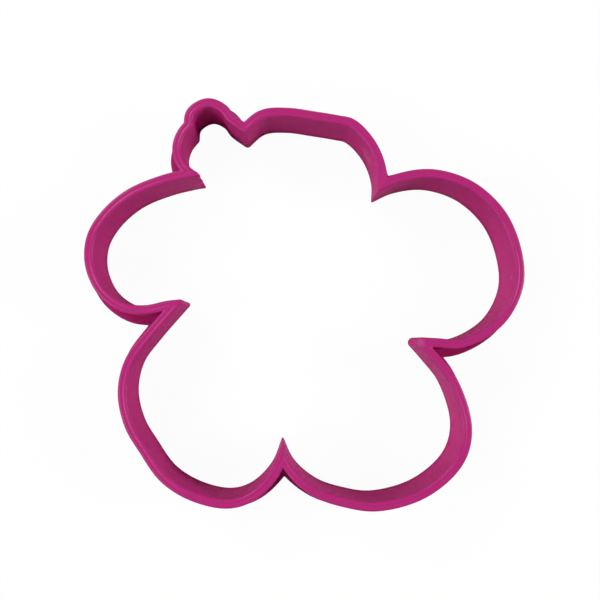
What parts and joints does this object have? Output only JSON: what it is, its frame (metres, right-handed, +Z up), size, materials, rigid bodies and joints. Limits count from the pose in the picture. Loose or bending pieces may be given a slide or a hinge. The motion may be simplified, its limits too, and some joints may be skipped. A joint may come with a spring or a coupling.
{
  "type": "fondant cutter",
  "caption": "Printed cutter in the outline of a blossom with a stamen: an upright wall with a rounded cutting edge and a wider grip flange, open right through, for cutting rolled paste.",
  "frame": {"origin": "on the table, below the middle of the flange's box", "axes": "+Z up from the grip flange to the cutting edge, +X towards the right petal, +Y towards the top petal"},
  "size_m": [0.1026, 0.0964, 0.015],
  "materials": {
    "printed_plastic": "satin magenta print with fine layer lines"
  },
  "bodies": {
    "root": {"grip_flange": "printed_plastic", "blade_wall": "printed_plastic", "cutting_edge": "printed_plastic"}
  },
  "joints": []
}
